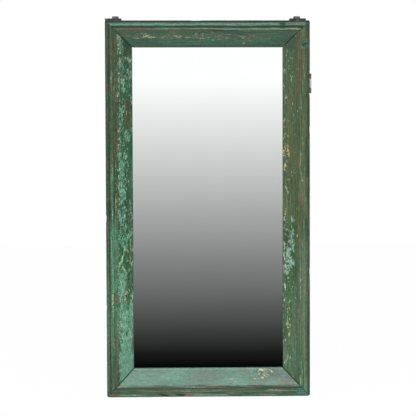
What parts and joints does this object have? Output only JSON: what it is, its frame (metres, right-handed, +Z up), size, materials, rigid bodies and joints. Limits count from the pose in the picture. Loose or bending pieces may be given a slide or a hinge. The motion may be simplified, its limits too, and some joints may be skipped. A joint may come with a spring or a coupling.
{
  "type": "shutter mirror",
  "caption": "Tall wall mirror set in a mitred, moulded wood shutter frame with hanging brackets on top and a butt hinge left on one edge.",
  "frame": {"origin": "middle of the frame's bottom edge, at half the frame's depth, on the face that it stands on", "axes": "+X to the viewer's right, +Y back towards the wall, +Z up the frame"},
  "size_m": [0.5388, 0.047, 0.9964],
  "materials": {
    "painted_wood": "old green paint in several coats, flaked to teal, cream and bare brown wood",
    "bare_wood": "unpainted and dusty",
    "mirror_glass": "silvered float glass",
    "backing_board": "plain hardboard",
    "rusty_iron": "dark and rusted",
    "grey_steel": "dull grey"
  },
  "bodies": {
    "frame": {"left_stile": "painted_wood", "right_stile": "painted_wood", "top_rail": "painted_wood", "bottom_rail": "painted_wood", "hole_plug": "painted_wood", "top_left_outer_peg": "bare_wood", "top_left_inner_peg": "bare_wood", "top_right_outer_peg": "bare_wood", "top_right_inner_peg": "bare_wood", "bottom_left_outer_peg": "bare_wood", "bottom_left_inner_peg": "bare_wood", "bottom_right_outer_peg": "bare_wood", "bottom_right_inner_peg": "bare_wood", "mirror_glass": "mirror_glass", "backing_board": "backing_board", "left_fillet": "bare_wood", "right_fillet": "bare_wood", "top_fillet": "bare_wood", "bottom_fillet": "bare_wood", "left_brad_1": "grey_steel", "left_brad_2": "grey_steel", "left_brad_3": "grey_steel", "right_brad_1": "grey_steel", "right_brad_2": "grey_steel", "right_brad_3": "grey_steel", "top_brad_1": "grey_steel", "top_brad_2": "grey_steel", "bottom_brad_1": "grey_steel", "bottom_brad_2": "grey_steel", "left_hanging_bracket": "rusty_iron", "right_hanging_bracket": "rusty_iron", "left_coach_screw": "grey_steel", "right_coach_screw": "grey_steel", "left_upper_bracket_screw": "grey_steel", "left_lower_bracket_screw": "grey_steel", "right_upper_bracket_screw": "grey_steel", "right_lower_bracket_screw": "grey_steel", "hinge_frame_leaf": "rusty_iron", "hinge_screw_1": "rusty_iron", "hinge_screw_2": "rusty_iron", "hinge_screw_3": "rusty_iron", "hinge_pin": "grey_steel"},
    "loose_leaf": {"hinge_loose_leaf": "grey_steel"}
  },
  "joints": [
    {"name": "hinge_swing", "type": "hinge", "parent": "frame", "child": "loose_leaf", "pos_m": [0.2686, -0.008, 0.8216], "axis": [0, 0, -1], "range_deg": [0, 150]}
  ]
}
